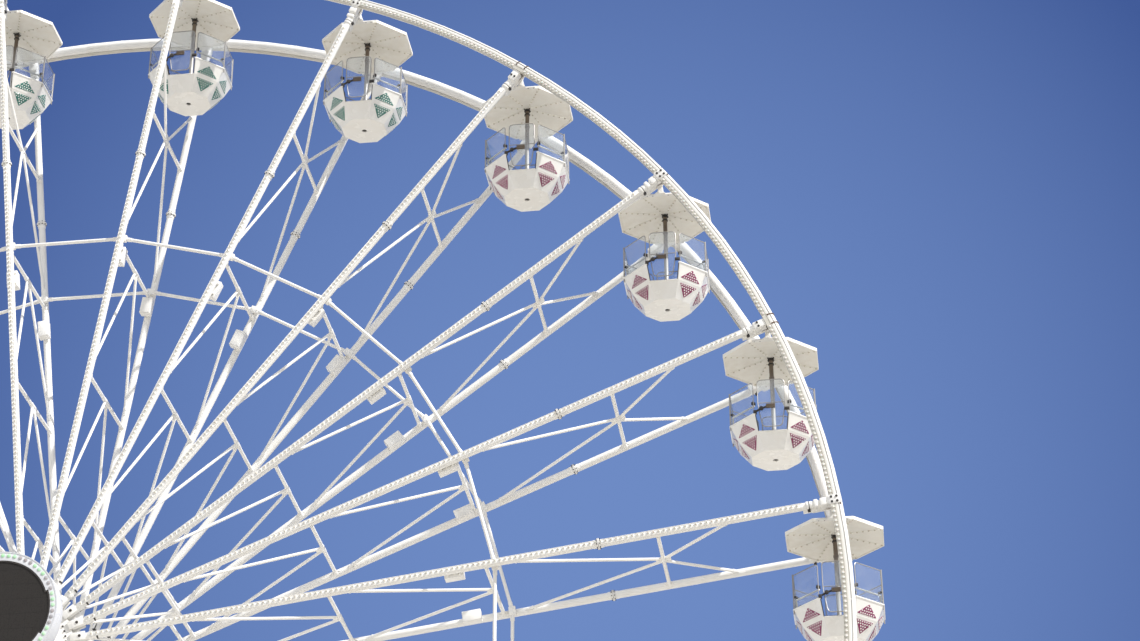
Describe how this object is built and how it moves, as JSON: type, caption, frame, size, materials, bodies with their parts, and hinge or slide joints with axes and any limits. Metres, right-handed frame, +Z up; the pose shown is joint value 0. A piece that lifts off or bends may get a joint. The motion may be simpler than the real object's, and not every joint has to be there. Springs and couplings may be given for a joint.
{
  "type": "ferris wheel",
  "caption": "Fairground ferris wheel: open tubular spoke wheel between A-frame supports, with parasol-topped gondolas that stay level, a base frame, boarding deck and steps.",
  "frame": {"origin": "on the ground at the centre of the base, straight below the hub", "axes": "+Z up, +X to the right seen from the front, -Y towards the front with the steps and the hub display; the wheel's axle runs along Y"},
  "size_m": [35.5328, 12.1, 38.3297],
  "materials": {
    "white_paint": "semi-gloss white paint, slightly warm",
    "white_shell": "gloss white moulding",
    "purple_pattern": "gloss film, dark purple",
    "teal_pattern": "gloss film, teal",
    "parasol_white": "satin white moulding",
    "clear_acrylic": "clear, glossy",
    "grey_metal": "satin grey",
    "brown_metal": "satin brown",
    "black_fitting": "matt black",
    "lamp_caps": "translucent cream caps",
    "dark_screen": "dark, unlit",
    "bare_steel": "galvanised",
    "base_paint": "satin grey paint",
    "deck_steel": "galvanised tread plate"
  },
  "bodies": {
    "support": {"front_support": "white_paint", "rear_support": "white_paint", "base_frame": "base_paint", "boarding_platform": "deck_steel", "boarding_stairs": "deck_steel", "axle": "bare_steel", "hub_display": "dark_screen"},
    "wheel": {"hub": "white_paint", "front_rim": "white_paint", "rear_rim": "white_paint", "front_mid_ring": "white_paint", "rear_mid_ring": "white_paint", "spoke_frame_01": "white_paint", "spoke_frame_02": "white_paint", "spoke_frame_03": "white_paint", "spoke_frame_04": "white_paint", "spoke_frame_05": "white_paint", "spoke_frame_06": "white_paint", "spoke_frame_07": "white_paint", "spoke_frame_08": "white_paint", "spoke_frame_09": "white_paint", "spoke_frame_10": "white_paint", "spoke_frame_11": "white_paint", "spoke_frame_12": "white_paint", "spoke_frame_13": "white_paint", "spoke_frame_14": "white_paint", "spoke_frame_15": "white_paint", "spoke_frame_16": "white_paint", "spoke_frame_17": "white_paint", "spoke_frame_18": "white_paint", "spoke_frame_19": "white_paint", "spoke_frame_20": "white_paint", "spoke_frame_21": "white_paint", "spoke_frame_22": "white_paint", "spoke_frame_23": "white_paint", "spoke_frame_24": "white_paint"},
    "gondola_01": {"gondola_01": "white_shell"},
    "gondola_02": {"gondola_02": "white_shell"},
    "gondola_03": {"gondola_03": "white_shell"},
    "gondola_04": {"gondola_04": "white_shell"},
    "gondola_05": {"gondola_05": "white_shell"},
    "gondola_06": {"gondola_06": "white_shell"},
    "gondola_07": {"gondola_07": "white_shell"},
    "gondola_08": {"gondola_08": "white_shell"},
    "gondola_09": {"gondola_09": "white_shell"},
    "gondola_10": {"gondola_10": "white_shell"},
    "gondola_11": {"gondola_11": "white_shell"},
    "gondola_12": {"gondola_12": "white_shell"},
    "gondola_13": {"gondola_13": "white_shell"},
    "gondola_14": {"gondola_14": "white_shell"},
    "gondola_15": {"gondola_15": "white_shell"},
    "gondola_16": {"gondola_16": "white_shell"},
    "gondola_17": {"gondola_17": "white_shell"},
    "gondola_18": {"gondola_18": "white_shell"},
    "gondola_19": {"gondola_19": "white_shell"},
    "gondola_20": {"gondola_20": "white_shell"},
    "gondola_21": {"gondola_21": "white_shell"},
    "gondola_22": {"gondola_22": "white_shell"},
    "gondola_23": {"gondola_23": "white_shell"},
    "gondola_24": {"gondola_24": "white_shell"}
  },
  "joints": [
    {"name": "wheel_spin", "type": "hinge", "parent": "support", "child": "wheel", "pos_m": [0, 0, 21.2], "axis": [0, 1, 0], "continuous": true},
    {"name": "gondola_01_swing", "type": "hinge", "parent": "wheel", "child": "gondola_01", "pos_m": [16.75542, 0, 23.40589], "axis": [0, 1, 0], "continuous": true},
    {"name": "gondola_02_swing", "type": "hinge", "parent": "wheel", "child": "gondola_02", "pos_m": [15.61356, 0, 27.66735], "axis": [0, 1, 0], "continuous": true},
    {"name": "gondola_03_swing", "type": "hinge", "parent": "wheel", "child": "gondola_03", "pos_m": [13.40767, 0, 31.48807], "axis": [0, 1, 0], "continuous": true},
    {"name": "gondola_04_swing", "type": "hinge", "parent": "wheel", "child": "gondola_04", "pos_m": [10.28807, 0, 34.60767], "axis": [0, 1, 0], "continuous": true},
    {"name": "gondola_05_swing", "type": "hinge", "parent": "wheel", "child": "gondola_05", "pos_m": [6.46735, 0, 36.81356], "axis": [0, 1, 0], "continuous": true},
    {"name": "gondola_06_swing", "type": "hinge", "parent": "wheel", "child": "gondola_06", "pos_m": [2.20589, 0, 37.95542], "axis": [0, 1, 0], "continuous": true},
    {"name": "gondola_07_swing", "type": "hinge", "parent": "wheel", "child": "gondola_07", "pos_m": [-2.20589, 0, 37.95542], "axis": [0, 1, 0], "continuous": true},
    {"name": "gondola_08_swing", "type": "hinge", "parent": "wheel", "child": "gondola_08", "pos_m": [-6.46735, 0, 36.81356], "axis": [0, 1, 0], "continuous": true},
    {"name": "gondola_09_swing", "type": "hinge", "parent": "wheel", "child": "gondola_09", "pos_m": [-10.28807, 0, 34.60767], "axis": [0, 1, 0], "continuous": true},
    {"name": "gondola_10_swing", "type": "hinge", "parent": "wheel", "child": "gondola_10", "pos_m": [-13.40767, 0, 31.48807], "axis": [0, 1, 0], "continuous": true},
    {"name": "gondola_11_swing", "type": "hinge", "parent": "wheel", "child": "gondola_11", "pos_m": [-15.61356, 0, 27.66735], "axis": [0, 1, 0], "continuous": true},
    {"name": "gondola_12_swing", "type": "hinge", "parent": "wheel", "child": "gondola_12", "pos_m": [-16.75542, 0, 23.40589], "axis": [0, 1, 0], "continuous": true},
    {"name": "gondola_13_swing", "type": "hinge", "parent": "wheel", "child": "gondola_13", "pos_m": [-16.75542, 0, 18.99411], "axis": [0, 1, 0], "continuous": true},
    {"name": "gondola_14_swing", "type": "hinge", "parent": "wheel", "child": "gondola_14", "pos_m": [-15.61356, 0, 14.73265], "axis": [0, 1, 0], "continuous": true},
    {"name": "gondola_15_swing", "type": "hinge", "parent": "wheel", "child": "gondola_15", "pos_m": [-13.40767, 0, 10.91193], "axis": [0, 1, 0], "continuous": true},
    {"name": "gondola_16_swing", "type": "hinge", "parent": "wheel", "child": "gondola_16", "pos_m": [-10.28807, 0, 7.79233], "axis": [0, 1, 0], "continuous": true},
    {"name": "gondola_17_swing", "type": "hinge", "parent": "wheel", "child": "gondola_17", "pos_m": [-6.46735, 0, 5.58644], "axis": [0, 1, 0], "continuous": true},
    {"name": "gondola_18_swing", "type": "hinge", "parent": "wheel", "child": "gondola_18", "pos_m": [-2.20589, 0, 4.44458], "axis": [0, 1, 0], "continuous": true},
    {"name": "gondola_19_swing", "type": "hinge", "parent": "wheel", "child": "gondola_19", "pos_m": [2.20589, 0, 4.44458], "axis": [0, 1, 0], "continuous": true},
    {"name": "gondola_20_swing", "type": "hinge", "parent": "wheel", "child": "gondola_20", "pos_m": [6.46735, 0, 5.58644], "axis": [0, 1, 0], "continuous": true},
    {"name": "gondola_21_swing", "type": "hinge", "parent": "wheel", "child": "gondola_21", "pos_m": [10.28807, 0, 7.79233], "axis": [0, 1, 0], "continuous": true},
    {"name": "gondola_22_swing", "type": "hinge", "parent": "wheel", "child": "gondola_22", "pos_m": [13.40767, 0, 10.91193], "axis": [0, 1, 0], "continuous": true},
    {"name": "gondola_23_swing", "type": "hinge", "parent": "wheel", "child": "gondola_23", "pos_m": [15.61356, 0, 14.73265], "axis": [0, 1, 0], "continuous": true},
    {"name": "gondola_24_swing", "type": "hinge", "parent": "wheel", "child": "gondola_24", "pos_m": [16.75542, 0, 18.99411], "axis": [0, 1, 0], "continuous": true}
  ],
  "couplings": [
    {"joint": "gondola_01_swing", "follows": "wheel_spin", "ratio": -1},
    {"joint": "gondola_02_swing", "follows": "wheel_spin", "ratio": -1},
    {"joint": "gondola_03_swing", "follows": "wheel_spin", "ratio": -1},
    {"joint": "gondola_04_swing", "follows": "wheel_spin", "ratio": -1},
    {"joint": "gondola_05_swing", "follows": "wheel_spin", "ratio": -1},
    {"joint": "gondola_06_swing", "follows": "wheel_spin", "ratio": -1},
    {"joint": "gondola_07_swing", "follows": "wheel_spin", "ratio": -1},
    {"joint": "gondola_08_swing", "follows": "wheel_spin", "ratio": -1},
    {"joint": "gondola_09_swing", "follows": "wheel_spin", "ratio": -1},
    {"joint": "gondola_10_swing", "follows": "wheel_spin", "ratio": -1},
    {"joint": "gondola_11_swing", "follows": "wheel_spin", "ratio": -1},
    {"joint": "gondola_12_swing", "follows": "wheel_spin", "ratio": -1},
    {"joint": "gondola_13_swing", "follows": "wheel_spin", "ratio": -1},
    {"joint": "gondola_14_swing", "follows": "wheel_spin", "ratio": -1},
    {"joint": "gondola_15_swing", "follows": "wheel_spin", "ratio": -1},
    {"joint": "gondola_16_swing", "follows": "wheel_spin", "ratio": -1},
    {"joint": "gondola_17_swing", "follows": "wheel_spin", "ratio": -1},
    {"joint": "gondola_18_swing", "follows": "wheel_spin", "ratio": -1},
    {"joint": "gondola_19_swing", "follows": "wheel_spin", "ratio": -1},
    {"joint": "gondola_20_swing", "follows": "wheel_spin", "ratio": -1},
    {"joint": "gondola_21_swing", "follows": "wheel_spin", "ratio": -1},
    {"joint": "gondola_22_swing", "follows": "wheel_spin", "ratio": -1},
    {"joint": "gondola_23_swing", "follows": "wheel_spin", "ratio": -1},
    {"joint": "gondola_24_swing", "follows": "wheel_spin", "ratio": -1}
  ]
}
